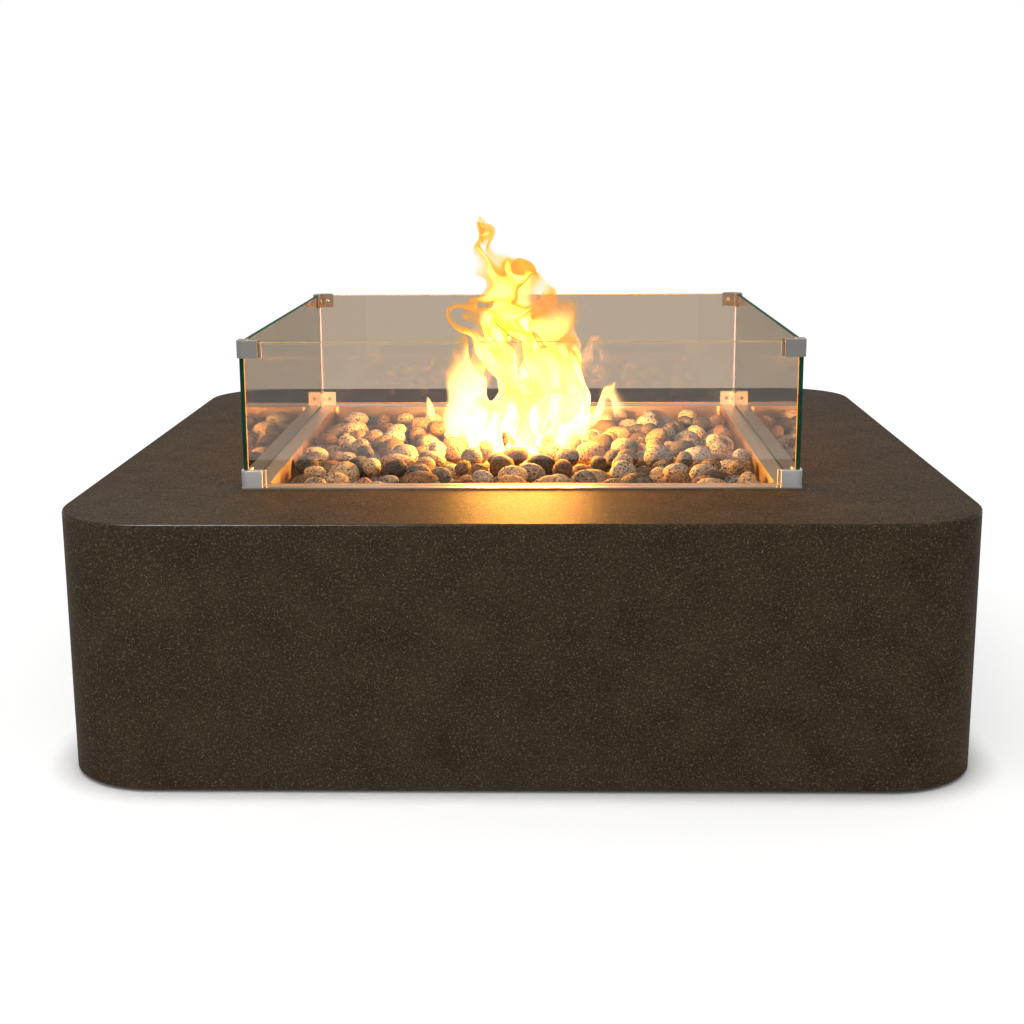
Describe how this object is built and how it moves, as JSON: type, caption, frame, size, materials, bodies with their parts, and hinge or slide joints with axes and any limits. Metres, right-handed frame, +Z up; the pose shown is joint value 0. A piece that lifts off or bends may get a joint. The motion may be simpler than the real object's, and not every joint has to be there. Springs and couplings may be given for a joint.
{
  "type": "gas fire pit table",
  "caption": "Low square gas fire-pit table: round-cornered powder-coated steel body, drop-in burner pan of lava stones, lift-off glass wind guard, rear controls and access door.",
  "frame": {"origin": "on the floor, under the middle of the table", "axes": "+Z up, front towards -Y, controls and access door in the rear wall at +Y"},
  "size_m": [1.219, 1.219, 0.567],
  "materials": {
    "textured_powder_coat": "dark brown wrinkle-grain powder coat on welded steel sheet",
    "stainless_sheet": "brushed stainless sheet, a little heat-tinted",
    "stainless_clip": "brushed stainless, edges broken",
    "stainless_burner": "stainless tube, heat-tinted",
    "screw_steel": "plated screws and pins",
    "zinc_steel": "zinc-plated threaded steel",
    "brass": "machined brass",
    "clear_glass": "clear tempered float glass with ground edges",
    "grey_lava": "tumbled porous grey lava",
    "tan_lava": "tumbled porous tan lava",
    "rust_lava": "tumbled porous reddish lava",
    "foot_rubber": "moulded black rubber",
    "line_rubber": "black synthetic rubber hose",
    "lead_sleeve": "silicone-sleeved ignition wire",
    "copper_lead": "bare copper thermocouple lead",
    "knob_plastic": "black glass-filled nylon",
    "igniter_plastic": "moulded black plastic",
    "button_plastic": "moulded red plastic",
    "bezel_chrome": "chromed ring",
    "white_ceramic": "white glazed alumina",
    "magnet_ferrite": "sintered ferrite"
  },
  "bodies": {
    "enclosure": {"enclosure_shell": "textured_powder_coat", "top_rails": "textured_powder_coat", "base_rails": "textured_powder_coat", "foot_plates": "textured_powder_coat", "vent_grille_left": "textured_powder_coat", "vent_grille_right": "textured_powder_coat", "burner_pan": "stainless_sheet", "control_tray": "stainless_sheet", "pilot_bracket": "stainless_sheet", "catch_bracket": "stainless_sheet", "burner_ring": "stainless_burner", "thermocouple": "stainless_burner", "tray_screws": "screw_steel", "vent_screws": "screw_steel", "hinge_pins": "screw_steel", "foot_nuts": "zinc_steel", "burner_nipple": "zinc_steel", "pan_lock_nuts": "zinc_steel", "wall_hinge_leaves": "zinc_steel", "air_mixer": "brass", "burner_elbow": "brass", "gas_valve": "brass", "valve_nut": "brass", "lava_stones_grey": "grey_lava", "lava_stones_tan": "tan_lava", "lava_stones_rust": "rust_lava", "gas_hose": "line_rubber", "ignition_lead": "lead_sleeve", "thermocouple_lead": "copper_lead", "igniter_module": "igniter_plastic", "igniter_bezel": "bezel_chrome", "spark_electrode": "white_ceramic", "catch_magnet": "magnet_ferrite"},
    "wind_guard": {"glass_front": "clear_glass", "glass_rear": "clear_glass", "glass_left": "clear_glass", "glass_right": "clear_glass", "bottom_clips": "stainless_clip", "top_clips": "stainless_clip", "clip_screws": "screw_steel"},
    "access_door": {"access_door": "textured_powder_coat", "door_hinge_leaves": "zinc_steel"},
    "valve_stem": {"valve_stem": "screw_steel"},
    "control_knob": {"control_knob": "knob_plastic"},
    "igniter_button": {"igniter_button": "button_plastic"},
    "air_shutter": {"air_shutter": "zinc_steel"},
    "foot_front_left": {"foot_stem_front_left": "zinc_steel", "foot_pad_front_left": "foot_rubber"},
    "foot_front_right": {"foot_stem_front_right": "zinc_steel", "foot_pad_front_right": "foot_rubber"},
    "foot_rear_left": {"foot_stem_rear_left": "zinc_steel", "foot_pad_rear_left": "foot_rubber"},
    "foot_rear_right": {"foot_stem_rear_right": "zinc_steel", "foot_pad_rear_right": "foot_rubber"}
  },
  "joints": [
    {"name": "wind_guard_lift", "type": "slide", "parent": "enclosure", "child": "wind_guard", "axis": [0, 0, 1], "range_m": [0, 0.3]},
    {"name": "access_door_hinge", "type": "hinge", "parent": "enclosure", "child": "access_door", "pos_m": [-0.4, 0.6015, 0.175], "axis": [0, 0, 1], "range_deg": [0, 90]},
    {"name": "valve_push", "type": "slide", "parent": "enclosure", "child": "valve_stem", "axis": [0, -1, 0], "range_m": [0, 0.004], "stiffness_N_per_m": 900, "springref_m": -0.002},
    {"name": "knob_turn", "type": "hinge", "parent": "valve_stem", "child": "control_knob", "pos_m": [0.218, 0.58, 0.19], "axis": [0, 1, 0], "range_deg": [0, 180]},
    {"name": "igniter_press", "type": "slide", "parent": "enclosure", "child": "igniter_button", "axis": [0, -1, 0], "range_m": [0, 0.004], "stiffness_N_per_m": 900, "springref_m": -0.002},
    {"name": "air_shutter_turn", "type": "hinge", "parent": "enclosure", "child": "air_shutter", "pos_m": [0, 0, 0.245], "axis": [0, 0, 1], "range_deg": [0, 45]},
    {"name": "foot_front_left_level", "type": "slide", "parent": "enclosure", "child": "foot_front_left", "axis": [0, 0, -1], "range_m": [0, 0.015]},
    {"name": "foot_front_right_level", "type": "slide", "parent": "enclosure", "child": "foot_front_right", "axis": [0, 0, -1], "range_m": [0, 0.015]},
    {"name": "foot_rear_left_level", "type": "slide", "parent": "enclosure", "child": "foot_rear_left", "axis": [0, 0, -1], "range_m": [0, 0.015]},
    {"name": "foot_rear_right_level", "type": "slide", "parent": "enclosure", "child": "foot_rear_right", "axis": [0, 0, -1], "range_m": [0, 0.015]}
  ]
}
